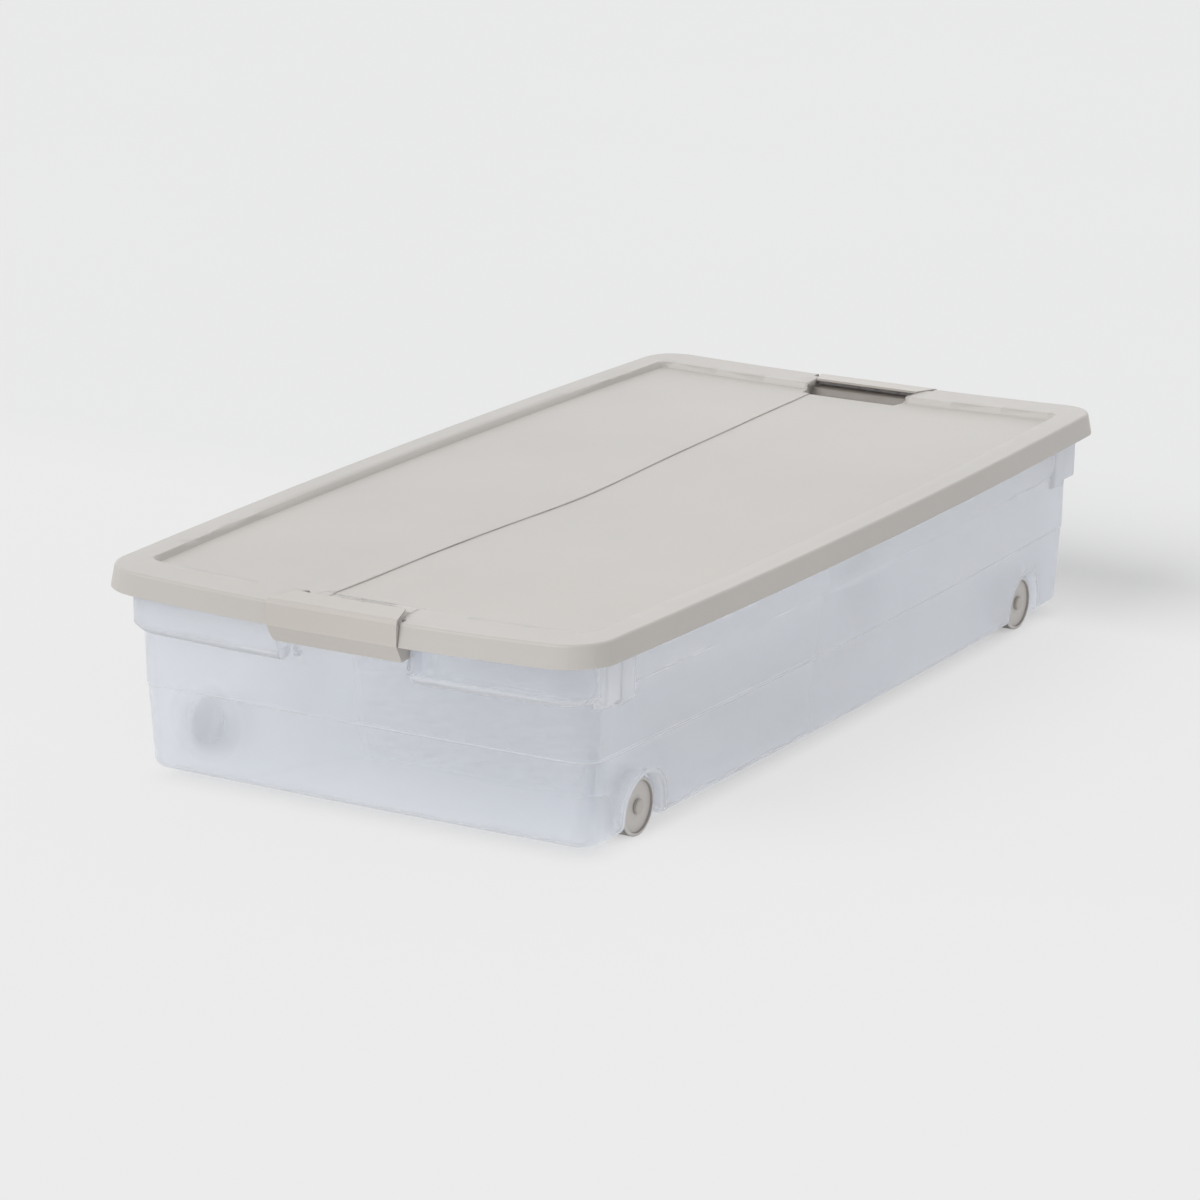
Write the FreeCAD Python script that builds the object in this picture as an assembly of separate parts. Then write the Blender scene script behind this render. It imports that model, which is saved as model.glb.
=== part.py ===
import FreeCAD, Part
import math
import os
from FreeCAD import Vector as V

# Wheeled under-bed storage box: a thin-walled tub on four small wheels, a one-piece
# lid that drops over its rim, and one swing latch per end.
# Millimetres. X = width, Y = length (front towards -Y, right towards +X), Z = up.
# Origin: centre of the footprint, on the floor plane under the wheels.

# ---------------------------------------------------------------- shared dimensions
LENGTH = 886.0          # overall, over the lid skirt
WIDTH = 477.5           # overall, over the lid skirt at mid length
HEIGHT = 180.0          # top of the lid rim above the floor

# lid edge, which the tub's rim also follows
SKIRT_FLARE = 3.5       # the skirt leans out this much towards its lower edge
LID_BOW_X = 11.7        # long sides bulge this much at mid length
LID_BOW_Y = 2.6         # ends bulge this much at mid width
LID_R = 38.0            # plan corner radius at the skirt's lower edge

# wheels
WHEEL_R = 23.5
WHEEL_W = 20.0
WHEEL_X = 202.0         # outer face of the tread
WHEEL_Y = 328.6
AXLE_R = 4.0
RUN_CLEAR = 0.08        # radial running clearance of every moving fit
WELL_X = 170.0          # inner face of the well's end wall

# latch pivots
PIVOT_Y = 428.0
PIVOT_Z = 150.0
PIVOT_R = 2.5
LUG_X0, LUG_X1 = 50.0, 54.0
LUG_GAP = 0.8           # side gap between a lug and the latch

# reach of the cutting tools
END_Y = 500.0           # past either end of the box
ABOVE_Z = 200.0         # past its top
BELOW_Z = 100.0         # under the rim, shoulders and lid
PICK_TOL = 0.01         # tolerance for picking edges by position


# ---------------------------------------------------------------- helpers
class Outline:
    """Rounded rectangle whose four sides are shallow outward arcs."""

    def __init__(self, half_w, half_l, side_bow, end_bow, corner_r):
        self.half_w, self.half_l, self.corner_r = half_w, half_l, corner_r
        self.side_bow = side_bow
        self.side_r = (half_l**2 + side_bow**2) / (2 * side_bow)
        self.end_r = (half_w**2 + end_bow**2) / (2 * end_bow)
        self.side_centre = (half_w - self.side_r, 0.0)
        self.end_centre = (0.0, half_l - self.end_r)
        # The corner centre is where the side and end circles, both reduced by
        # the corner radius, cross in the +X +Y quadrant.
        reach_side, reach_end = self.side_r - corner_r, self.end_r - corner_r
        dx, dy = -self.side_centre[0], self.end_centre[1]
        dist = math.hypot(dx, dy)
        along = (reach_side**2 - reach_end**2 + dist**2) / (2 * dist)
        across = math.sqrt(reach_side**2 - along**2)
        self.corner = (self.side_centre[0] + (along * dx - across * dy) / dist,
                       (along * dy + across * dx) / dist)

    def wire(self, z, inset=0.0):
        side_r, end_r = self.side_r - inset, self.end_r - inset
        corner_r = self.corner_r - inset

        def unit(x, y):
            size = math.hypot(x, y)
            return x / size, y / size

        def reach(centre, radius, direction):
            return centre[0] + radius * direction[0], centre[1] + radius * direction[1]

        to_side, to_end = [unit(self.corner[0] - centre[0], self.corner[1] - centre[1])
                           for centre in (self.side_centre, self.end_centre)]
        side_x, side_y = reach(self.side_centre, side_r, to_side)
        end_x, end_y = reach(self.end_centre, end_r, to_end)
        mid_x, mid_y = reach(self.corner, corner_r,
                             unit(to_side[0] + to_end[0], to_side[1] + to_end[1]))
        # half a turn of arc ends and arc midpoints, anticlockwise from the +X side
        half = [(side_x, -side_y), (self.half_w - inset, 0),
                (side_x, side_y), (mid_x, mid_y),
                (end_x, end_y), (0, self.half_l - inset),
                (-end_x, end_y), (-mid_x, mid_y)]
        ring = [V(x, y, z) for x, y in half + [(-x, -y) for x, y in half] + half[:1]]
        return Part.Wire([Part.Arc(*ring[i:i + 3]).toShape() for i in range(0, 16, 2)])

    def prism(self, z0, z1, inset=0.0):
        return Part.Face(self.wire(z0, inset)).extrude(V(0, 0, z1 - z0))


def loft(*wires):
    return Part.makeLoft(list(wires), True, True)


def box(x0, x1, y0, y1, z0, z1):
    return Part.makeBox(x1 - x0, y1 - y0, z1 - z0, V(x0, y0, z0))


def polygon_face(points):
    return Part.Face(Part.makePolygon(points + [points[0]]))


def poly_prism(points, axis, start, stop):
    """Closed polygon extruded along 'x', 'y' or 'z' from start to stop."""
    place = {'x': lambda a, b: V(start, a, b),
             'y': lambda a, b: V(a, start, b),
             'z': lambda a, b: V(a, b, start)}[axis]
    travel = {'x': V(1, 0, 0), 'y': V(0, 1, 0), 'z': V(0, 0, 1)}[axis] * (stop - start)
    return polygon_face([place(a, b) for a, b in points]).extrude(travel)


def cyl_x(radius, x0, x1, y, z):
    return Part.makeCylinder(radius, abs(x1 - x0), V(min(x0, x1), y, z), V(1, 0, 0))


def turned(profile):
    """(x, radius) profile revolved about the +X +Y wheel's axis."""
    solid = polygon_face([V(x, r, 0) for x, r in profile]).revolve(V(0, 0, 0), V(1, 0, 0), 360)
    solid.translate(V(0, WHEEL_Y, WHEEL_R))
    return solid


def shifted(points, da, db):
    return [(a + da, b + db) for a, b in points]


def symmetric(points):
    """The points, then their mirror images in reverse order."""
    return points + [(-a, b) for a, b in reversed(points)]


def span(a, b, sign):
    """Two limits moved to the given side of zero, in rising order."""
    return sorted((sign * a, sign * b))


def mirror_x(shape):
    return shape.mirror(V(0, 0, 0), V(1, 0, 0))


def mirror_y(shape):
    return shape.mirror(V(0, 0, 0), V(0, 1, 0))


def at_corner(shape, left, front):
    """A +X +Y shape moved to the chosen corner by mirroring."""
    shape = mirror_x(shape) if left else shape
    return mirror_y(shape) if front else shape


def cut_ends(shape, half_w, y0, z0):
    """Cut a central block from both ends, outwards of y0 and above z0."""
    tool = box(-half_w, half_w, y0, END_Y, z0, ABOVE_Z)
    return shape.cut(tool).cut(mirror_y(tool))


def edges_up_to(shape, z):
    return [e for e in shape.Edges if e.BoundBox.ZMax < z + PICK_TOL]


def edges_from(shape, z):
    return [e for e in shape.Edges if e.BoundBox.ZMin > z - PICK_TOL]


def largest_solid(shape):
    return max(shape.removeSplitter().Solids, key=lambda solid: solid.Volume)


# ---------------------------------------------------------------- tub
WALL = 2.2
FLOOR_T = 2.5
BASE_Z = 10.0           # underside of the floor
FLOOR_Z = BASE_Z + FLOOR_T
BASE_EDGE_R = 7.0       # rounding between floor and walls
STEP_Z = 79.5           # fine step line round the tub
STEP_OUT = 0.8
WALL_TOP_Z = 177.4
BASE = Outline(210.0, 409.0, 5.6, 2.0, 18.0)
MID = Outline(217.6, 411.4, 8.6, 2.2, 20.0)
TOP = Outline(222.0, 413.6, 9.4, 2.4, 24.0)
ROOT_Y = TOP.half_l - 6.0   # features on the end walls start this far in

SHOULDER_Z0 = 127.6     # lower edge of the stepped-out shoulders on the ends
SHOULDER_Z1 = 132.4     # top of their sloping underside
SHOULDER_SLOPE = 5.0    # the underside starts this far in
SHOULDER_HL = 430.0
SHOULDER_GAP = 61.0     # half width of the bay behind each latch
SHOULDER = Outline(TOP.half_w, SHOULDER_HL,
                   TOP.side_bow * (SHOULDER_HL / TOP.half_l) ** 2, 2.4, 30.0)

RIM_T = 2.2
RIM_CLEAR = 3.0         # rim edge inside the lid's outer top outline
LIP_H = 7.5             # turned-down lip of the rim, from the wall top
LIP_T = 1.6
NOTCH_HW = 66.0         # half width of the gap in the rim behind each latch
BAY_WALL_Z = 164.6      # top of the end wall in that gap

# stacking pads: y start, y end, lower z
PADS = [(362.0, 381.2, 122.0), (382.8, 402.5, 125.0)]
PAD_ROOT = -9.0         # x of the pad's buried side, from the wall top

# boss round each latch pivot: (y, z) from the pivot
PIVOT_BOSS = [(-5.2, -2.0), (-2.5, -5.0), (2.5, -5.0), (5.0, -2.4),
              (5.0, 2.0), (2.2, 5.0), (-3.0, 5.0)]
# outer edge of the rib below it: (y, z)
LUG_RIB = [(417.0, 130.5), (418.2, 132.0), (417.8, 138.0), (416.0, 143.5), (415.2, 147.0)]
SLOT_HALF_H = 1.7       # snap slot from the pivot hole
SLOT_REACH = 8.0

WELL_R = 28.0
WELL_LEG = 0.10         # lean of the well's front and rear walls, radians
WELL_BOSS_R = 7.5
WELL_BOSS_GAP = 0.8     # boss face to wheel


def tub_outside():
    lower = loft(BASE.wire(BASE_Z), MID.wire(STEP_Z))
    lower = lower.makeFillet(BASE_EDGE_R, edges_up_to(lower, BASE_Z))
    upper = loft(MID.wire(STEP_Z, -STEP_OUT), TOP.wire(WALL_TOP_Z))
    block = SHOULDER.prism(SHOULDER_Z1, WALL_TOP_Z)
    ledge = loft(SHOULDER.wire(SHOULDER_Z0, SHOULDER_SLOPE), SHOULDER.wire(SHOULDER_Z1))
    shoulders = cut_ends(block.fuse(ledge), SHOULDER_GAP, ROOT_Y, BELOW_Z)
    return lower.fuse([upper, shoulders])


def tub_inside():
    """Storage hollow: the same walls set in by the wall thickness."""
    lower = loft(BASE.wire(BASE_Z - 0.01, WALL), MID.wire(STEP_Z, WALL))
    lower = lower.cut(box(-300, 300, -END_Y, END_Y, BASE_Z - 5, FLOOR_Z))
    lower = lower.makeFillet(BASE_EDGE_R - 1.5, edges_up_to(lower, FLOOR_Z))
    upper = loft(MID.wire(STEP_Z, WALL), TOP.wire(WALL_TOP_Z + 1, WALL))
    block = SHOULDER.prism(SHOULDER_Z1 + 1.0, WALL_TOP_Z + 1, WALL)
    ledge = loft(SHOULDER.wire(SHOULDER_Z0 + 1.0, SHOULDER_SLOPE + WALL),
                 SHOULDER.wire(SHOULDER_Z1 + 1.0, WALL))
    shoulders = cut_ends(block.fuse(ledge), SHOULDER_GAP + WALL, ROOT_Y, BELOW_Z)
    return lower.fuse([upper, shoulders])


def tub_rim():
    """Flange under the lid with a turned-down lip, open behind each latch."""
    lid_top = Outline(WIDTH / 2 - SKIRT_FLARE, LENGTH / 2 - SKIRT_FLARE,
                      LID_BOW_X, LID_BOW_Y, LID_R - SKIRT_FLARE)
    flange = lid_top.prism(WALL_TOP_Z - RIM_T, WALL_TOP_Z, RIM_CLEAR)
    lip = lid_top.prism(WALL_TOP_Z - LIP_H, WALL_TOP_Z - RIM_T + 0.5, RIM_CLEAR)
    lip = lip.cut(lid_top.prism(WALL_TOP_Z - LIP_H - 1, WALL_TOP_Z, RIM_CLEAR + LIP_T))
    return cut_ends(flange.fuse(lip), NOTCH_HW, TOP.half_l + 0.6, 140)


def stacking_pad(side, end, y0, y1, z_low):
    wall_x = TOP.half_w - TOP.side_bow * ((y0 + y1) / 2 / TOP.half_l) ** 2
    z_top = WALL_TOP_Z - 1
    section = [(PAD_ROOT, z_low), (2.2, z_low), (3.6, z_low + 1.6), (5.0, z_top),
               (PAD_ROOT, z_top)]
    points = [(side * x, z) for x, z in shifted(section, wall_x, 0)]
    return poly_prism(points, 'y', end * y0, end * y1)


def pivot_lug(side):
    """Boss and web that hold a trunnion, and a rib below, at the +Y end."""
    x0, x1 = span(LUG_X0, LUG_X1, side)
    boss = shifted(PIVOT_BOSS, PIVOT_Y, PIVOT_Z)
    web = [(ROOT_Y, PIVOT_Z + 3.5)] + boss + [(ROOT_Y, PIVOT_Z + 13)]
    rib = [(ROOT_Y, LUG_RIB[0][1])] + LUG_RIB + [(ROOT_Y, 158.0)]
    return poly_prism(web, 'x', x0, x1).fuse(poly_prism(rib, 'x', x0, x1))


def well_arch(offset, x0, x1, z_low, fillet_r):
    """Arch seen along X: round crown with legs that leave it tangentially."""
    radius = WELL_R + offset
    cos_leg, sin_leg = math.cos(WELL_LEG), math.sin(WELL_LEG)
    crown_y = radius * cos_leg
    crown_z = WHEEL_R + radius * sin_leg
    foot_y = crown_y + (crown_z - z_low) * sin_leg / cos_leg
    crown_rear, crown_front = [V(x0, WHEEL_Y + y, crown_z) for y in (crown_y, -crown_y)]
    foot_rear, foot_front = [V(x0, WHEEL_Y + y, z_low) for y in (foot_y, -foot_y)]
    top = V(x0, WHEEL_Y, WHEEL_R + radius)
    edges = [Part.makeLine(foot_front, crown_front),
             Part.Arc(crown_front, top, crown_rear).toShape(),
             Part.makeLine(crown_rear, foot_rear),
             Part.makeLine(foot_rear, foot_front)]
    arch = Part.Face(Part.Wire(edges)).extrude(V(x1 - x0, 0, 0))
    # round the arch's edges on its inner end, but not the foot
    picked = [e for e in arch.Edges
              if e.BoundBox.XMax < x0 + 1e-3 and e.BoundBox.ZMax > z_low + 0.5]
    return arch.makeFillet(fillet_r, picked)


def hollow_with_wells(body):
    """Cut the storage hollow and the wheel wells, and add the axle sockets."""
    well_outer = well_arch(WALL, WELL_X - WALL, 216.0, BASE_Z + 0.2, 5.0)
    well_cavity = well_arch(0.0, WELL_X, 240.0, 0.0, 3.0)
    boss = cyl_x(WELL_BOSS_R, WELL_X - 3.0, WHEEL_X - WHEEL_W - WELL_BOSS_GAP, WHEEL_Y, WHEEL_R)
    # blind back of the axle socket, inside the tub
    cap = cyl_x(WELL_BOSS_R, WELL_X - 5.0, WELL_X - 1.0, WHEEL_Y, WHEEL_R)
    bore = cyl_x(AXLE_R, WELL_X - 1.5, WHEEL_X, WHEEL_Y, WHEEL_R)
    corners = [(left, front) for left in (False, True) for front in (False, True)]

    def at_corners(shape):
        return [at_corner(shape, *corner) for corner in corners]

    sockets = [b.fuse(c) for b, c in zip(at_corners(boss), at_corners(cap))]
    body = body.cut(tub_inside().cut(at_corners(well_outer)))
    body = body.cut(at_corners(well_cavity))
    return body.fuse(sockets).cut(at_corners(bore))


def make_tub():
    body = tub_outside().fuse(tub_rim())
    for side in (1, -1):
        for end in (1, -1):
            for pad in PADS:
                body = body.fuse(stacking_pad(side, end, *pad))
    for side in (1, -1):
        lug = pivot_lug(side)
        body = body.fuse(lug).fuse(mirror_y(lug))
    body = hollow_with_wells(body)

    # pivot holes, each with a snap slot open outwards
    for end in (1, -1):
        for side in (1, -1):
            x0, x1 = span(LUG_X0 - 1, LUG_X1 + 1, side)
            hole = cyl_x(PIVOT_R + RUN_CLEAR, x0, x1, end * PIVOT_Y, PIVOT_Z)
            slot = box(x0, x1, *span(PIVOT_Y, PIVOT_Y + SLOT_REACH, end),
                       PIVOT_Z - SLOT_HALF_H, PIVOT_Z + SLOT_HALF_H)
            body = body.cut(hole).cut(slot)

    # behind each latch the wall stops lower, and its rim reaches out under the lid's ledge
    body = cut_ends(body, NOTCH_HW, TOP.half_l - 8, BAY_WALL_Z)
    rim_root, rim_low = TOP.half_l - 2.0, BAY_WALL_Z - RIM_T
    section = [(rim_root, rim_low), (425.0, rim_low), (425.0, 170.6), (422.9, 170.6),
               (422.9, BAY_WALL_Z), (rim_root, BAY_WALL_Z)]
    bay_rim = poly_prism(section, 'x', -SHOULDER_GAP - 1.0, SHOULDER_GAP + 1.0)
    body = body.fuse([bay_rim, mirror_y(bay_rim)])
    return largest_solid(body)


# ---------------------------------------------------------------- latch sizes
LATCH_HW = 59.4
LATCH_Y = 446.0         # outer face
LATCH_TOP_Z = 180.8
LATCH_IN_Y = 419.6      # free inner edge of the top plate
LATCH_IN_HW = 50.5
LATCH_T = 2.0
LATCH_CHAM_Z = 158.5    # the face slopes inwards below this
LATCH_BOT_Z = 144.2
LATCH_BOT_Y = 438.0

# ---------------------------------------------------------------- lid
SKIRT_H = 18.2          # height of the turned-down edge
LID_T = 2.2             # lid wall
PANEL_Z = HEIGHT - 5.5  # upper face of the sunken panel
RECESS_LEAN = 3.8       # panel wall leans in this much
SKIRT = Outline(WIDTH / 2, LENGTH / 2, LID_BOW_X, LID_BOW_Y, LID_R)
RECESS = Outline(212.0, 402.0, 9.5, 1.6, 10.0)   # top edge of the panel wall
LID_STEP = 0.9          # height of the moulded step across the panel
# the step's line across the panel: (x, y)
S_CURVE = [(-41.5, -406), (-35.0, -350), (-31.1, -303), (-28.5, -238), (-25.7, -170),
           (-20.2, -105), (-18.2, -50), (-19.5, 9), (-24.3, 97), (-27.6, 186),
           (-31.1, 278), (-34.9, 329), (-41.5, 406)]
POCKET_FLOOR_Z = 167.2  # lowest level of the latch pocket
POCKET_HW = 60.5        # half width at the open end
POCKET_Y0 = 386.0       # inner edge of the pocket
POCKET_Y1 = 430.0       # outer end of the ledge the latch closes over
LEDGE_Y = 414.0         # the pocket's far wall ends here
LEDGE_Z = 174.0         # and the ledge beyond it is this high
TOOL_HW = 90.0          # half width of the tools that shape the pocket
TOOL_Y = 480.0          # their outer end


def lid_shell():
    """Skirt and top, hollow underneath."""
    z_low = HEIGHT - SKIRT_H
    shell = loft(SKIRT.wire(z_low), SKIRT.wire(HEIGHT, SKIRT_FLARE))
    shell = shell.makeFillet(2.6, edges_from(shell, HEIGHT))
    slope = SKIRT_FLARE / SKIRT_H
    under = loft(SKIRT.wire(z_low - 1, LID_T - slope),
                 SKIRT.wire(HEIGHT - LID_T, LID_T + SKIRT_FLARE - slope * LID_T))
    return shell.cut(under)


def recess_tool():
    slope = RECESS_LEAN / (HEIGHT - PANEL_Z)
    tool = loft(RECESS.wire(PANEL_Z, RECESS_LEAN), RECESS.wire(HEIGHT + 2, -slope * 2))
    return tool.makeFillet(2.2, edges_up_to(tool, PANEL_Z))


def panel_step():
    """Moulded step across the panel: the -X side stands slightly higher."""
    z_low = PANEL_Z - 1.0
    spline = Part.BSplineCurve()
    spline.approximate([V(x, y, z_low) for x, y in S_CURVE], DegMax=5, Tolerance=0.6)
    curve = spline.toShape()
    start = curve.valueAt(curve.FirstParameter)
    stop = curve.valueAt(curve.LastParameter)
    back = [stop, V(-260, stop.y, stop.z), V(-260, start.y, start.z), start]
    wire = Part.Wire([curve] + [Part.makeLine(back[i], back[i + 1]) for i in range(3)])
    raised = Part.Face(wire).extrude(V(0, 0, 1.0 + LID_STEP))
    return raised.common(RECESS.prism(z_low, PANEL_Z + LID_STEP + 0.5, RECESS_LEAN - 1.2))


def pocket_plan(grow):
    return symmetric([(46.5 + grow, POCKET_Y0 - 2.0 - grow), (52.5 + grow, LATCH_IN_Y),
                      (POCKET_HW + grow, LATCH_Y - 1), (POCKET_HW + grow, TOOL_Y - 10)])


def pocket_walls():
    """Walls and floor of the +Y latch pocket, before it is hollowed."""
    floor = POCKET_FLOOR_Z - LID_T
    panel = PANEL_Z - LID_T
    ledge = LEDGE_Z - LID_T
    underside = [(POCKET_Y0 - 20, panel - 0.3), (POCKET_Y0 - 2.5, panel - 0.4),
                 (POCKET_Y0 + 2, panel - 1.3), (POCKET_Y0 + 8, panel - 3.8),
                 (POCKET_Y0 + 14, floor + 0.8), (POCKET_Y0 + 18, floor),
                 (LEDGE_Y - 5, floor), (LEDGE_Y - 3, floor + 0.6),
                 (LEDGE_Y + 1, ledge - 0.4), (LEDGE_Y + 2.5, ledge - 0.2),
                 (TOOL_Y, ledge - 0.8), (TOOL_Y, 120), (POCKET_Y0 - 20, 120)]
    solid = poly_prism(pocket_plan(LID_T), 'z', floor, HEIGHT - 0.4)
    solid = solid.cut(poly_prism(underside, 'x', -TOOL_HW, TOOL_HW))
    return solid.cut(box(-TOOL_HW, TOOL_HW, POCKET_Y1, END_Y, BELOW_Z, 220))


def pocket_space():
    """Space cut out above the floor and ledge of the +Y latch pocket."""
    inner_y, ledge_end_z = POCKET_Y0 - 12, LEDGE_Z - 0.8
    section = [(inner_y, PANEL_Z + 4.2), (POCKET_Y0 - 3.2, PANEL_Z + 0.4),
               (POCKET_Y0 - 1.6, PANEL_Z - 0.3), (POCKET_Y0 + 3, PANEL_Z - 1.2),
               (POCKET_Y0 + 9, PANEL_Z - 3.6), (POCKET_Y0 + 15, POCKET_FLOOR_Z + 1.0),
               (POCKET_Y0 + 18.5, POCKET_FLOOR_Z), (LEDGE_Y - 6.5, POCKET_FLOOR_Z),
               (LEDGE_Y - 4.6, POCKET_FLOOR_Z + 1.0), (LEDGE_Y - 1.4, LEDGE_Z - 0.8),
               (LEDGE_Y, LEDGE_Z), (POCKET_Y1, ledge_end_z),
               (TOOL_Y, ledge_end_z), (TOOL_Y, ABOVE_Z), (inner_y, ABOVE_Z)]
    space = poly_prism(pocket_plan(0), 'z', POCKET_FLOOR_Z - 10, HEIGHT + 5)
    return space.common(poly_prism(section, 'x', -TOOL_HW, TOOL_HW))


def make_lid():
    panel = loft(RECESS.wire(PANEL_Z - LID_T, RECESS_LEAN - LID_T),
                 RECESS.wire(HEIGHT - 0.5, -LID_T))
    recess = recess_tool()
    lid = lid_shell().fuse(panel).cut(recess)
    lid = lid.fuse(panel_step())

    # latch pockets: sunk bays with sloping floors, open at the outer end
    walls, space = pocket_walls(), pocket_space()
    open_end = box(-POCKET_HW, POCKET_HW, POCKET_Y1, END_Y, BELOW_Z, 220)
    for front in (False, True):
        # the recess tool is mirrored along with the walls it trims
        trimmed = walls.cut(mirror_y(recess) if front else recess)
        lid = lid.fuse(at_corner(trimmed, False, front))
        lid = lid.cut(at_corner(space, False, front))
        lid = lid.cut(at_corner(open_end, False, front))
    return largest_solid(lid)


# ---------------------------------------------------------------- latches
def latch_shell():
    """Top plate, face and lower flange, trimmed to the latch's outline."""
    flange_y = LATCH_BOT_Y - 16
    outer = [(LATCH_IN_Y, LATCH_TOP_Z), (LATCH_Y - 3.2, LATCH_TOP_Z - 1.2),
             (LATCH_Y - 0.9, LATCH_TOP_Z - 2.3), (LATCH_Y, LATCH_TOP_Z - 4.8),
             (LATCH_Y + 0.4, LATCH_CHAM_Z), (LATCH_BOT_Y, LATCH_BOT_Z),
             (flange_y, LATCH_BOT_Z)]
    inner = [(flange_y, LATCH_BOT_Z + LATCH_T), (LATCH_BOT_Y - 1.4, LATCH_BOT_Z + LATCH_T),
             (LATCH_Y - LATCH_T + 0.2, LATCH_CHAM_Z + 0.8),
             (LATCH_Y - LATCH_T, LATCH_TOP_Z - 5.2),
             (LATCH_Y - LATCH_T - 1.2, LATCH_TOP_Z - 1.2 - LATCH_T),
             (LATCH_IN_Y, LATCH_TOP_Z - LATCH_T)]
    shell = poly_prism(outer + inner, 'x', -LATCH_HW, LATCH_HW)
    # plan outline: the top plate narrows towards its free edge
    plan = symmetric([(LATCH_IN_HW, LATCH_IN_Y - 1), (LATCH_HW - 1.6, LATCH_Y - 6),
                      (LATCH_HW, LATCH_Y - 1.5), (LATCH_HW, LATCH_Y + 5)])
    # elevation outline: the lower end tapers in slightly
    elevation = symmetric([(LATCH_HW, 171), (LATCH_HW, LATCH_BOT_Z + 3.0),
                           (LATCH_HW - 1.2, LATCH_BOT_Z + 0.6),
                           (LATCH_HW - 2.6, LATCH_BOT_Z - 1)])
    upper = poly_prism(plan, 'z', 170, LATCH_TOP_Z + 2)
    return shell.common(upper.fuse(poly_prism(elevation, 'y', 400, 460)))


def make_latch():
    """Latch at the +Y end."""
    latch = latch_shell()
    face_in = LATCH_Y - LATCH_T   # inner side of the face
    plate_low = LATCH_TOP_Z - LATCH_T
    # clearance notches in the lower flange for the tub's lugs
    for side in (1, -1):
        latch = latch.cut(box(*span(LUG_X0 - LUG_GAP, LUG_X1 + LUG_GAP, side),
                              LATCH_BOT_Y - 20, LATCH_BOT_Y - 4.6,
                              LATCH_BOT_Z - 1, LATCH_BOT_Z + LATCH_T + 0.5))
    added = []
    # gussets either side of each lug, and the trunnions they carry
    gusset = [(PIVOT_Y - 3.6, LATCH_BOT_Z + 1), (PIVOT_Y - 3.6, PIVOT_Z + 2.2),
              (PIVOT_Y - 2.0, PIVOT_Z + 4.0), (PIVOT_Y + 3, PIVOT_Z + 4.4),
              (face_in + 0.6, PIVOT_Z + 12), (face_in + 0.6, LATCH_CHAM_Z),
              (LATCH_BOT_Y - 0.6, LATCH_BOT_Z + 1)]
    for side in (1, -1):
        for x0, x1 in ((LUG_X0 - 3.2, LUG_X0 - LUG_GAP), (LUG_X1 + LUG_GAP, LUG_X1 + 2.8)):
            added.append(poly_prism(gusset, 'x', *span(x0, x1, side)))
        added.append(cyl_x(PIVOT_R, side * (LUG_X0 - 2.0), side * (LUG_X1 + 2.0),
                           PIVOT_Y, PIVOT_Z))
    # snap bead under the plate
    bead = [(LATCH_IN_Y + 1.2, plate_low - 1.1), (LATCH_IN_Y + 3.0, plate_low - 1.1),
            (LATCH_IN_Y + 4.6, LATCH_TOP_Z - 1.2), (LATCH_IN_Y + 0.4, LATCH_TOP_Z - 1.2)]
    added.append(poly_prism(bead, 'x', -40.0, 40.0))
    # closed ends
    cheek = [(PIVOT_Y - 4.5, LATCH_BOT_Z + 2.8), (LATCH_BOT_Y - 0.4, LATCH_BOT_Z + 1.2),
             (LATCH_Y - 0.8, LATCH_CHAM_Z), (LATCH_Y - 1.0, LATCH_TOP_Z - 6.0),
             (POCKET_Y1 + 1.5, LATCH_TOP_Z - 6.0), (POCKET_Y1 + 1.5, 161.0),
             (PIVOT_Y - 4.5, 158.5)]
    for side in (1, -1):
        added.append(poly_prism(cheek, 'x', *span(LATCH_HW - 2.2, LATCH_HW, side)))
    # stiffening ribs inside the face
    rib = [(face_in + 0.5, LATCH_CHAM_Z + 2), (LATCH_Y - 4.2, LATCH_CHAM_Z + 4),
           (LATCH_Y - 4.2, LATCH_TOP_Z - 7), (LATCH_IN_Y + 8, plate_low + 0.2),
           (face_in + 0.5, LATCH_TOP_Z - 3.0)]
    for x in (-20.0, 0.0, 20.0):
        added.append(poly_prism(rib, 'x', x - 0.8, x + 0.8))
    return largest_solid(latch.fuse(added))


# ---------------------------------------------------------------- wheels
def make_wheel():
    """Wheel of the +X +Y corner, outer face towards +X."""
    inner, outer = WHEEL_X - WHEEL_W, WHEEL_X
    bore_r = AXLE_R + RUN_CLEAR
    return largest_solid(turned([
        (inner, bore_r), (inner, 8.2), (inner + 4.0, 9.0), (inner + 4.0, WHEEL_R - 5.0),
        (inner, WHEEL_R - 4.2), (inner, WHEEL_R - 1.2), (inner + 1.2, WHEEL_R),
        (outer - 1.4, WHEEL_R), (outer - 0.4, WHEEL_R - 0.5), (outer, WHEEL_R - 1.4),
        (outer, WHEEL_R - 2.6), (outer - 1.9, WHEEL_R - 3.3), (outer - 2.1, WHEEL_R - 3.9),
        (outer - 2.1, 9.2), (outer - 1.7, 8.6), (outer - 1.7, bore_r)]))


def make_axle():
    """Headed pin pressed into the well's boss, head towards +X."""
    tip = WELL_X - 1.4
    head = WHEEL_X - 1.4
    return largest_solid(turned([
        (tip, 0), (tip, AXLE_R - 0.8), (tip + 0.8, AXLE_R), (head, AXLE_R), (head, 5.9),
        (head + 2.3, 5.8), (head + 3.0, 5.0), (head + 3.2, 3.4), (head + 3.2, 0)]))


# ---------------------------------------------------------------- output
def save(shape, node):
    shape.exportStep("parts/%s.step" % node)


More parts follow.
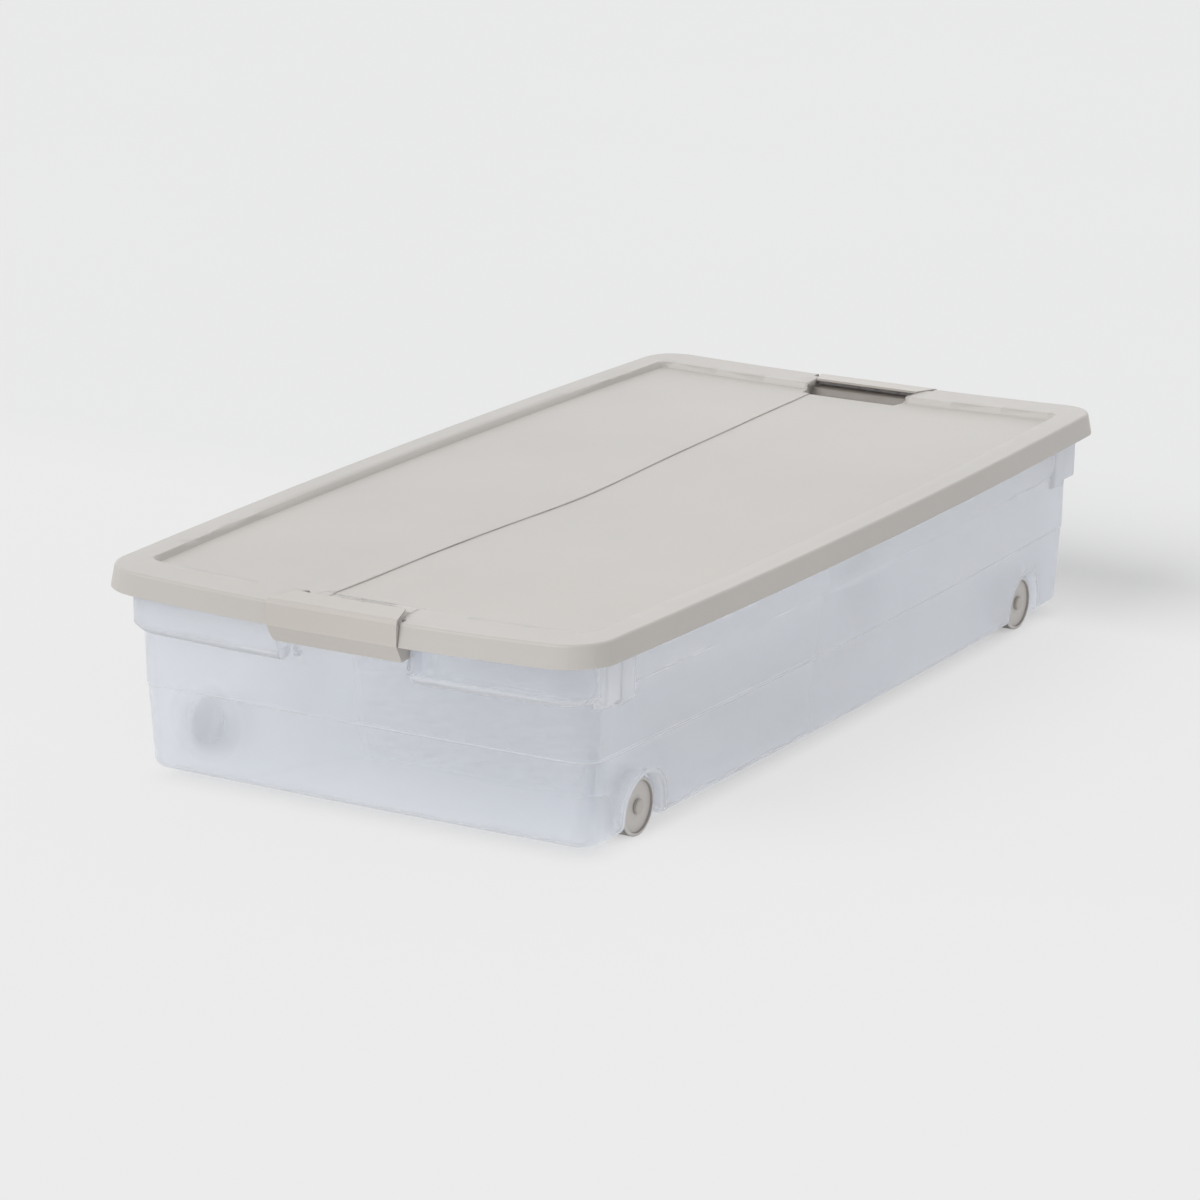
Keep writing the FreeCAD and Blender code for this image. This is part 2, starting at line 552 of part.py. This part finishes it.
os.makedirs("parts", exist_ok=True)
save(make_tub(), 'tub')
save(make_lid(), 'lid')
latch_rear = make_latch()
save(latch_rear, 'latch_rear')
save(mirror_y(latch_rear), 'latch_front')
wheel, axle = make_wheel(), make_axle()
for side_name, is_left in (('right', False), ('left', True)):
    for end_name, is_front in (('front', True), ('rear', False)):
        corner_name = '%s_%s' % (end_name, side_name)
        save(at_corner(wheel, is_left, is_front), 'wheel_' + corner_name)
        save(at_corner(axle, is_left, is_front), 'axle_pin_' + corner_name)
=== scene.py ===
"""Storage box on wheels: milky tub, taupe lid and latches, wheels with axle pins.

The box stands on z = 0, long axis along Y. The front end faces -Y, +X is on its right.
Metres, +Z up.
"""
import bpy
import bmesh
import math
from functools import reduce
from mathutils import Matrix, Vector


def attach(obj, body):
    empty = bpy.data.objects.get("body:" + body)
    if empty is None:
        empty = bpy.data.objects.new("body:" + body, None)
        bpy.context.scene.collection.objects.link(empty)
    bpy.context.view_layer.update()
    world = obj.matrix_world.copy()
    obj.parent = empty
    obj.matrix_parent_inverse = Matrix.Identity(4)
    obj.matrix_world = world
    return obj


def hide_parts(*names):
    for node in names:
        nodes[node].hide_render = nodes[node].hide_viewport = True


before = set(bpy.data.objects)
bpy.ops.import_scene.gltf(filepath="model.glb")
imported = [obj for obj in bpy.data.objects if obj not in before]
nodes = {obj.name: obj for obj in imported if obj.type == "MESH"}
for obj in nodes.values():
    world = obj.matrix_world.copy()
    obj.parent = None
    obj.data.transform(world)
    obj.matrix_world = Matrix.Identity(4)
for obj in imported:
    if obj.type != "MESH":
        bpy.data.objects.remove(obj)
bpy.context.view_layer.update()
scene = bpy.context.scene

# Flex of the lid and tub under the closed latches
SAG = 0.0040                    # drop in the middle of both ends
SAG_HALF_WIDTH = 0.215
SAG_Y = (0.25, 0.43)            # the sag grows over this |y|
SAG_TUB_Z = (0.07, 0.162)       # and up this part of the tub wall
BULGE = 0.0022                  # outward belly of the lid ends
BULGE_HALF_WIDTH = 0.205
BULGE_Y = (0.408, 0.432)
FLEX_POWER = 2.2                # falloff from the middle towards the corners
REAR_LATCH_DROP = 0.0034

# Front latch pocket of the lid
POCKET_HALF_WIDTH = 0.0495
POCKET_Y = (-0.3995, -0.3835)
POCKET_Z = (0.1690, 0.1743)     # heights that are levelled
POCKET_STEP_X = -0.0373         # the floor is higher on the -X side of this
POCKET_FLOOR_LEFT = 0.1753
POCKET_FLOOR = 0.1744
POCKET_SIDE_X = 0.0605          # side edges, drawn inwards in front of POCKET_SIDE_Y
POCKET_SIDE_Y = -0.405
POCKET_SIDE_SHIFT = 0.0007

# Planes that cut the pieces into fields small enough to bend
END_CUTS = [side * y for side in (-1, 1)
            for y in (0.25, 0.27, 0.29, 0.31, 0.33, 0.35, 0.37, 0.384, 0.398, 0.412, 0.426)]
WIDE_CUTS = [side * x for side in (-1, 1)
             for x in (0.02, 0.045, 0.07, 0.095, 0.12, 0.145, 0.17, 0.19, 0.205, 0.22)] + [0.0]
POCKET_STEP_CUTS = [-0.0376, -0.0370]
TUB_Z_CUTS = [0.08, 0.1, 0.12, 0.14, 0.16]


# ------------------------------------------------------------------ node helpers
class Graph:
    """Adds shader nodes to one node tree. A value may be a constant or a socket."""

    def __init__(self, tree):
        self.tree = tree

    def put(self, socket, value):
        if isinstance(value, bpy.types.NodeSocket):
            self.tree.links.new(value, socket)
        elif socket.type == "RGBA":
            socket.default_value = (*value, 1.0)
        else:
            socket.default_value = value

    def node(self, kind, inputs=None, **settings):
        node = self.tree.nodes.new(kind)
        for key, value in settings.items():
            setattr(node, key, value)
        for key, value in (inputs or {}).items():
            self.put(node.inputs[key], value)
        return node

    def shader(self, kind, inputs):
        return self.node(kind, inputs).outputs[0]

    def normal(self):
        return self.node("ShaderNodeNewGeometry").outputs["Normal"]

    def noise(self, vector, scale, detail=4.0, rough=0.5, distortion=0.0):
        return self.node("ShaderNodeTexNoise", {
            "Vector": vector, "Scale": scale, "Detail": detail, "Roughness": rough,
            "Distortion": distortion}).outputs["Fac"]

    def remap(self, value, over, to=(0.0, 1.0), smooth=False):
        """Maps the range `over` onto the range `to`, clamped."""
        return self.node("ShaderNodeMapRange", {
            "Value": value, "From Min": over[0], "From Max": over[1],
            "To Min": to[0], "To Max": to[1]},
            interpolation_type="SMOOTHSTEP" if smooth else "LINEAR").outputs["Result"]

    def between(self, value, span, soft=0.0006):
        """1 where the value lies within the span, with soft ends."""
        low, high = span
        return self.times(self.remap(value, over=(low - soft, low + soft)),
                          self.remap(value, over=(high - soft, high + soft), to=(1.0, 0.0)))

    def math(self, operation, a, b=0.0, clamp=False):
        return self.node("ShaderNodeMath", {0: a, 1: b}, operation=operation,
                         use_clamp=clamp).outputs[0]

    def times(self, *values):
        return reduce(lambda a, b: self.math("MULTIPLY", a, b), values)

    def largest(self, *values):
        return reduce(lambda a, b: self.math("MAXIMUM", a, b), values)

    def add(self, a, b, clamp=False):
        return self.math("ADD", a, b, clamp)

    def minus(self, a, b):
        return self.math("SUBTRACT", a, b)

    def abs(self, value):
        return self.math("ABSOLUTE", value)

    def length(self, a, b):
        return self.math("SQRT", self.add(self.times(a, a), self.times(b, b)))

    def dot(self, a, b):
        return self.node("ShaderNodeVectorMath", {0: a, 1: b},
                         operation="DOT_PRODUCT").outputs["Value"]

    def mix(self, factor, a, b):
        return self.node("ShaderNodeMix", {0: factor, 6: a, 7: b}, data_type="RGBA",
                         blend_type="MIX").outputs[2]

    def mix_shader(self, factor, a, b):
        return self.shader("ShaderNodeMixShader", {"Fac": factor, 1: a, 2: b})

    def bump(self, height, strength, distance, normal=None):
        inputs = {"Height": height, "Strength": strength, "Distance": distance}
        if normal is not None:
            inputs["Normal"] = normal
        return self.node("ShaderNodeBump", inputs).outputs["Normal"]

    def xyz(self, vector):
        return self.node("ShaderNodeSeparateXYZ", {0: vector}).outputs[:3]


class Material(Graph):
    """A new material with object coordinates in `place`."""

    def __init__(self, name):
        self.material = bpy.data.materials.new(name)
        self.material.use_nodes = True
        super().__init__(self.material.node_tree)
        self.tree.nodes.clear()
        self.output = self.node("ShaderNodeOutputMaterial")
        self.place = self.node("ShaderNodeTexCoord").outputs["Object"]

    def finish(self, shader):
        self.put(self.output.inputs["Surface"], shader)
        return self.material


# ------------------------------------------------------------------ moulded plastic
def shade(colour, factor):
    return tuple(Vector(colour) * factor)


def tinted(colour, factors):
    return tuple(channel * factor for channel, factor in zip(colour, factors))


def wear_mask(g):
    """1 on worn convex edges, 0 on flats."""
    bevel = g.node("ShaderNodeBevel", {"Radius": 0.0012}, samples=4)
    return g.remap(g.dot(bevel.outputs["Normal"], g.normal()), over=(1.0, 0.86))


def scuff_mask(g):
    """Long thin streaks."""
    stretched = g.node("ShaderNodeMapping", {
        "Vector": g.place, "Scale": (60.0, 7.0, 30.0), "Rotation": (0.0, 0.0, 0.5)})
    streak = g.noise(stretched.outputs["Vector"], scale=3.0, detail=6.0, rough=0.7,
                     distortion=0.4)
    return g.remap(streak, over=(0.66, 0.80))


def add_pocket_shade(g, colour, base, cloud):
    """Painted shade in the sunken latch pockets at both ends, darker towards the bottom."""
    x, y, z = g.xyz(g.place)
    pocket_shade = g.times(g.remap(g.abs(x), over=(0.0525, 0.0535), to=(1.0, 0.0)),
                    g.remap(g.abs(y), over=(0.396, 0.405)),
                    g.remap(z, over=(0.1705, 0.1745), to=(1.0, 0.55)),
                    g.remap(cloud, over=(0.3, 0.7), to=(0.62, 0.78)))
    return g.mix(pocket_shade, colour, tinted(base, (0.27, 0.235, 0.20)))


def add_tread_shade(g, colour):
    """Painted shade on the tread, dark and patchy, where the wheel surface faces away from its
    axle direction, X.
    """
    strength = 0.8
    facing = g.remap(g.abs(g.xyz(g.normal())[0]), over=(0.25, 0.5), to=(1.0, 0.0))
    patches = g.remap(g.noise(g.place, scale=140.0, rough=0.6), over=(0.3, 0.6), to=(0.75, 1.0))
    return g.mix(g.times(facing, patches, strength), colour, (0.055, 0.050, 0.045))


def moulded(name, base, rough, edge=0.10, crevice_shade=0.35, shaded_pockets=False, shaded_tread=False):
    """Opaque moulded plastic: fine grain, slow tone drift, polished edges, scuffs, painted shade
    in crevices.

    edge is how far worn edges lighten; the crevice argument sets how far painted shade darkens
    crevices.
    """
    scuff_tint, scuff_rough = 0.10, 0.06
    edge_polish = 0.08          # roughness lost on worn edges
    fine_height, mid_height = 0.6, 0.8
    g = Material(name)
    fine = g.noise(g.place, scale=2600.0, detail=2.0, rough=0.55)
    mid = g.noise(g.place, scale=900.0, detail=3.0, rough=0.6)
    slow = g.noise(g.place, scale=3.2, detail=3.0, rough=0.55)
    cloud = g.noise(g.place, scale=22.0, detail=4.0, rough=0.6)
    scuff = scuff_mask(g)
    worn = wear_mask(g)

    colour = g.mix(g.remap(slow, over=(0.3, 0.7)), shade(base, 0.96), shade(base, 1.04))
    colour = g.mix(g.remap(cloud, over=(0.35, 0.75), to=(0.0, 0.22)), colour, shade(base, 1.06))
    colour = g.mix(g.times(scuff, scuff_tint), colour, shade(base, 1.25))
    colour = g.mix(g.times(worn, edge), colour, tinted(base, (1.35, 1.35, 1.35)))
    # painted shade: colour darkened where ambient occlusion finds crevices and gaps between
    # parts
    openness = g.node("ShaderNodeAmbientOcclusion", {"Distance": 0.007}, samples=6).outputs["AO"]
    colour = g.mix(g.remap(openness, over=(0.30, 0.80), to=(crevice_shade, 0.0)), colour,
                   tinted(base, (0.42, 0.39, 0.36)))
    # painted shade: the latch pockets darkened in the lid's colour
    if shaded_pockets:
        colour = add_pocket_shade(g, colour, base, cloud)
    # painted shade: the wheel tread darkened as if it sat in shadow under the box
    if shaded_tread:
        colour = add_tread_shade(g, colour)

    roughness = g.remap(mid, over=(0.25, 0.75), to=(rough - 0.05, rough + 0.05))
    roughness = g.add(roughness, g.times(scuff, scuff_rough))
    roughness = g.minus(roughness, g.times(worn, edge_polish))
    grain = g.add(g.times(fine, fine_height), g.times(mid, mid_height))
    normal = g.bump(grain, strength=0.16, distance=0.0002)
    normal = g.bump(slow, strength=0.05, distance=0.004, normal=normal)
    return g.finish(g.shader("ShaderNodeBsdfPrincipled", {
        "Base Color": colour, "Roughness": roughness, "Normal": normal, "IOR": 1.49,
        "Specular IOR Level": 0.5, "Subsurface Weight": 0.06,
        "Subsurface Radius": (0.004, 0.0035, 0.003), "Subsurface Scale": 1.0}))


# ------------------------------------------------------------------ frosted tub
ARCH_Y, ARCH_Z = 0.3286, 0.0235         # centre of the wheel arches, as |y| and z
WELL_INSET, WELL_Z = 0.146, 0.058       # clear spot at x = -WELL_INSET
# How milky each thicker place is; the underside value is painted light
STEP_MILK, SHOULDER_MILK, ARCH_MILK = 0.28, 0.75, 0.5
PAD_MILK, UNDERSIDE_PAINTED_LIGHT, HEEL_MILK = 0.75, 0.7, 0.50
GRAZE_POWER, GRAZE_MILK = 2.0, 0.12     # extra milk at grazing angles


def thick_places(g, x, y, z, mid):
    """Whiter places: moulded lines, stacking pads and the lower edge, plus painted light on
    downward faces.
    """
    normal_z = g.xyz(g.normal())[2]
    pads = g.times(g.between(y, span=(0.3615, 0.4030)), g.between(x, span=(0.205, 0.24)),
                   g.between(z, span=(0.1215, 0.20)), PAD_MILK)
    # painted light: downward faces made milkier, standing in for light bounced up from the floor
    under = g.times(g.remap(normal_z, over=(-0.45, -0.85)), g.between(z, span=(0.118, 0.19)),
                    UNDERSIDE_PAINTED_LIGHT)
    heel = g.times(g.remap(z, over=(0.0095, 0.0150), to=(1.0, 0.0)),
                   g.remap(mid, over=(0.35, 0.6), to=(0.4, 1.0)), HEEL_MILK)
    step = g.times(g.between(z, span=(0.0788, 0.0802), soft=0.0003), STEP_MILK)
    shoulder = g.times(g.between(z, span=(0.1262, 0.1322), soft=0.0008),
                       g.remap(y, over=(0.4135, 0.4155)), SHOULDER_MILK)
    arch_radius = g.length(g.minus(y, ARCH_Y), g.minus(z, ARCH_Z))
    arch = g.times(g.between(arch_radius, span=(0.0268, 0.0312)),
                   g.remap(x, over=(0.196, 0.200)), ARCH_MILK)
    return g.largest(g.largest(step, shoulder, arch, pads), g.largest(under, heel))


def painted_light_places(g, x, y, z, abs_x):
    """Painted light: extra milk that brightens the left end and foot of the front wall, and the
    rear part of the side walls.
    """
    front = g.remap(y, over=(-0.370, -0.400))
    painted_light = g.largest(
        g.times(front, g.remap(x, over=(-0.22, 0.06), to=(0.34, 0.0), smooth=True)),
        g.times(front, g.remap(z, over=(0.012, 0.060), to=(0.24, 0.0))),
        g.times(g.remap(abs_x, over=(0.185, 0.200)),
                g.remap(y, over=(-0.10, 0.38), to=(0.0, 0.34))))
    # the left wheel well shows through the front wall
    well_radius = g.length(g.add(x, WELL_INSET), g.minus(z, WELL_Z))
    return g.times(painted_light, g.remap(well_radius, over=(0.018, 0.036), to=(0.15, 1.0)))


def frosted(name):
    """Natural polypropylene: milky, bluish and softly see-through."""
    g = Material(name)
    fine = g.noise(g.place, scale=900.0, detail=2.0)
    mid = g.noise(g.place, scale=60.0, detail=3.0, rough=0.55)
    slow = g.noise(g.place, scale=5.0, detail=3.0)
    x, y, z = g.xyz(g.place)
    abs_x, abs_y = g.abs(x), g.abs(y)
    thick = thick_places(g, abs_x, abs_y, z, mid)
    graze = g.node("ShaderNodeLayerWeight", {"Blend": 0.25}).outputs["Facing"]
    normal = g.bump(fine, strength=0.015, distance=0.0002)
    normal = g.bump(slow, strength=0.012, distance=0.004, normal=normal)

    # see-through body, with painted shade: darker and bluer towards +X
    tint = g.mix(g.remap(slow, over=(0.3, 0.7)), (0.956, 0.967, 0.988), (0.970, 0.978, 0.993))
    drift = g.remap(g.noise(g.place, scale=2.2, detail=2.0), over=(0.0, 1.0), to=(-0.12, 0.12))
    painted_shade_x = g.remap(g.add(x, drift), over=(-0.16, 0.10), to=(0.0, 0.7))
    tint = g.mix(painted_shade_x, tint, (0.880, 0.912, 0.962))
    glass = g.shader("ShaderNodeBsdfPrincipled", {
        "Base Color": tint, "Roughness": g.remap(mid, over=(0.3, 0.7), to=(0.11, 0.16)),
        "IOR": 1.38, "Transmission Weight": 1.0, "Normal": normal, "Specular IOR Level": 0.5})
    clear = g.shader("ShaderNodeBsdfTransparent", {"Color": (0.975, 0.981, 0.992)})
    clear_share = 0.52
    body = g.mix_shader(clear_share, glass, clear)

    # milky part
    milk_inputs = {"Color": g.mix(g.remap(slow, over=(0.3, 0.7)), (0.918, 0.938, 0.975),
                                  (0.940, 0.955, 0.984)), "Normal": normal}
    diffuse_share = 0.40
    milk = g.mix_shader(diffuse_share, g.shader("ShaderNodeBsdfTranslucent", milk_inputs),
                        g.shader("ShaderNodeBsdfDiffuse", milk_inputs))
    amount = g.add(g.remap(slow, over=(0.3, 0.7), to=(0.20, 0.23)),
                   g.times(g.math("POWER", graze, GRAZE_POWER), GRAZE_MILK))
    # painted light: milk added by position brightens parts of the walls
    amount = g.add(amount, painted_light_places(g, x, y, z, abs_x))
    amount = g.add(amount, thick, clamp=True)
    wall = g.mix_shader(amount, body, milk)

    # shadow and diffuse rays go straight through
    rays = g.node("ShaderNodeLightPath").outputs
    passing = g.largest(rays["Is Shadow Ray"], rays["Is Diffuse Ray"])
    through = g.shader("ShaderNodeBsdfTransparent", {"Color": (0.955, 0.963, 0.980)})
    return g.finish(g.mix_shader(passing, wall, through))


LID = moulded("lid_plastic", (0.512, 0.486, 0.460), rough=0.38, shaded_pockets=True)
LATCH = moulded("latch_plastic", (0.525, 0.492, 0.458), rough=0.36)
WHEEL = moulded("wheel_plastic", (0.56, 0.535, 0.515), rough=0.42, edge=0.15, crevice_shade=0.7,
                shaded_tread=True)
PIN = moulded("pin_plastic", (0.48, 0.455, 0.425), rough=0.35, edge=0.15, crevice_shade=0.5)
TUB = frosted("tub_plastic")


# ------------------------------------------------------------------ flexed pieces
def smoothstep(value, low, high):
    t = min(1.0, max(0.0, (value - low) / (high - low)))
    return t * t * (3.0 - 2.0 * t)


def across(x, half_width):
    """1 in the middle of an end, 0 at its corners."""
    return max(0.0, 1.0 - (abs(x) / half_width) ** FLEX_POWER)


def sag_at(point):
    return SAG * across(point.x, SAG_HALF_WIDTH) * smoothstep(abs(point.y), *SAG_Y)


def lid_shift(point):
    """Ends sag and belly outwards; the front pocket is levelled and its sides drawn in."""
    x, y, z = point
    bulge = BULGE * across(x, BULGE_HALF_WIDTH) * smoothstep(abs(y), *BULGE_Y)
    shift = Vector((0.0, math.copysign(bulge, y), -sag_at(point)))
    if (POCKET_Y[0] < y < POCKET_Y[1] and abs(x) < POCKET_HALF_WIDTH
            and POCKET_Z[0] < z < POCKET_Z[1]):
        shift.z += (POCKET_FLOOR_LEFT if x < POCKET_STEP_X else POCKET_FLOOR) - z
    if abs(abs(x) - POCKET_SIDE_X) < 0.0003 and y < POCKET_SIDE_Y:
        shift.x -= math.copysign(POCKET_SIDE_SHIFT, x)
    return shift


def tub_shift(point):
    return Vector((0.0, 0.0, -sag_at(point) * smoothstep(point.z, *SAG_TUB_Z)))


def rear_latch_shift(point):
    return Vector((0.0, 0.0, -REAR_LATCH_DROP))


def add_object(name, data):
    added = bpy.data.objects.new(name, data)
    scene.collection.objects.link(added)
    return added


def flexed(name, shift, cuts=()):
    """A copy of a CAD piece, cut at (axis, positions) and moved by shift(point)."""
    mesh = nodes[name].data.copy()
    mesh.name = name + "_flexed"
    if mesh.has_custom_normals:
        mesh.normals_split_custom_set([(0.0, 0.0, 0.0)] * len(mesh.loops))
    bm = bmesh.new()
    bm.from_mesh(mesh)
    bmesh.ops.remove_doubles(bm, verts=bm.verts, dist=2e-6)
    for axis, positions in cuts:
        normal = Vector([1.0 if i == axis else 0.0 for i in range(3)])
        for position in positions:
            bmesh.ops.bisect_plane(bm, geom=bm.verts[:] + bm.edges[:] + bm.faces[:],
                                   plane_co=normal * position, plane_no=normal, dist=1e-6)
    bmesh.ops.remove_doubles(bm, verts=bm.verts, dist=2e-6)
    bmesh.ops.dissolve_degenerate(bm, edges=bm.edges, dist=1e-6)
    for vertex in bm.verts:
        vertex.co += shift(vertex.co)
    bmesh.ops.triangulate(bm, faces=bm.faces[:])
    bm.to_mesh(mesh)
    bm.free()
    mesh.polygons.foreach_set("use_smooth", [True] * len(mesh.polygons))
    mesh.set_sharp_from_angle(angle=math.radians(32))
    piece = add_object(name + "_flexed", mesh)
    weighted = piece.modifiers.new("weighted_normals", "WEIGHTED_NORMAL")
    weighted.mode = "FACE_AREA"
    weighted.weight = 100
    weighted.thresh = 0.002
    weighted.keep_sharp = True
    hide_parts(name)
    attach(piece, name)
    return piece


def dress(piece, material):
    piece.data.materials.clear()
    piece.data.materials.append(material)


X, Y, Z = range(3)
dress(flexed("lid", lid_shift, [(X, WIDE_CUTS + POCKET_STEP_CUTS), (Y, END_CUTS)]),
      LID)
dress(flexed("tub", tub_shift, [(X, WIDE_CUTS), (Y, END_CUTS), (Z, TUB_Z_CUTS)]),
      TUB)
dress(flexed("latch_rear", rear_latch_shift), LATCH)
dress(nodes["latch_front"], LATCH)
for prefix, plastic in (("wheel_", WHEEL), ("axle_pin_", PIN)):
    for name in sorted(nodes):
        if name.startswith(prefix):
            dress(nodes[name], plastic)


# ------------------------------------------------------------------ floor, light, camera
def floor_material():
    """Matt grey blended with a steady glow, weaker under the box."""
    g = Material("studio_floor")
    colour = g.mix(g.remap(g.noise(g.place, scale=1.3, detail=2.0), over=(0.3, 0.7)),
                   (0.800, 0.800, 0.800), (0.806, 0.806, 0.806))
    matt = g.shader("ShaderNodeBsdfPrincipled", {
        "Base Color": colour, "Roughness": 0.9, "Specular IOR Level": 0.0})
    glow = g.shader("ShaderNodeEmission", {"Color": (0.8392, 0.8392, 0.8392), "Strength": 1.0})
    x, y, _ = g.xyz(g.place)
    under_box = g.times(g.remap(g.abs(x), over=(0.190, 0.215), to=(0.30, 0.0)),
                        g.remap(g.abs(y), over=(0.385, 0.418), to=(1.0, 0.0)))
    rear = g.remap(y, over=(0.36, 0.52), to=(0.80, 0.06))
    front = g.remap(y, over=(-0.20, -0.36), to=(0.0, 0.12))
    return g.finish(g.mix_shader(g.minus(g.add(rear, front), under_box), matt, glow))


def build_floor():
    half, drop = 14.0, 0.0002
    mesh = bpy.data.meshes.new("studio_floor")
    mesh.from_pydata([(-half, -half, 0), (half, -half, 0), (half, half, 0), (-half, half, 0)],
                     [], [(0, 1, 2, 3)])
    floor = add_object("studio_floor", mesh)
    mesh.materials.append(floor_material())
    floor.location = (0, 0, -drop)


def build_world():
    """Even sky, brighter behind the box as the camera sees it."""
    sky, sky_behind = 0.70, 1.18
    behind = (-0.495, 0.825, 0.276)
    world = bpy.data.worlds.new("studio")
    scene.world = world
    world.use_nodes = True
    g = Graph(world.node_tree)
    background = g.tree.nodes["Background"]
    direction = g.node("ShaderNodeTexCoord").outputs["Generated"]
    g.put(background.inputs["Strength"],
          g.remap(g.dot(direction, behind), over=(0.35, 1.0), to=(sky, sky_behind), smooth=True))
    g.put(background.inputs["Color"], (0.992, 0.998, 1.0))


def aim(item, direction):
    item.rotation_euler = direction.to_track_quat("-Z", "Y").to_euler()


def build_sun():
    light = bpy.data.lights.new("key_soft", "SUN")
    light.energy = 1.15
    light.angle = math.radians(38)
    aim(add_object("key_soft", light), Vector((0.36, 0.85, -0.72)))


def build_camera():
    """Looks from the front right, slightly above."""
    target = Vector((-0.02815, -0.00313, 0.0739))
    azimuth, elevation, distance = math.radians(30.993), math.radians(15.99), 3.961
    lens_data = bpy.data.cameras.new("camera")
    camera = add_object("camera", lens_data)
    lens_data.sensor_width = 36.0
    lens_data.lens = 140.97
    lens_data.clip_end = 60.0
    back = Vector((math.sin(azimuth) * math.cos(elevation),
                   -math.cos(azimuth) * math.cos(elevation), math.sin(elevation)))
    camera.location = target + back * distance
    aim(camera, -back)
    scene.camera = camera


def set_render():
    view, cycles = scene.view_settings, scene.cycles
    view.view_transform = "Standard"
    view.look = "None"
    view.exposure = 0.0
    cycles.use_denoising = True
    cycles.max_bounces = 16
    cycles.transmission_bounces = 14
    cycles.transparent_max_bounces = 12
    cycles.diffuse_bounces = 5
    cycles.caustics_refractive = True
    cycles.caustics_reflective = False
    cycles.sample_clamp_indirect = 6.0


build_floor()
build_world()
build_sun()
build_camera()
set_render()
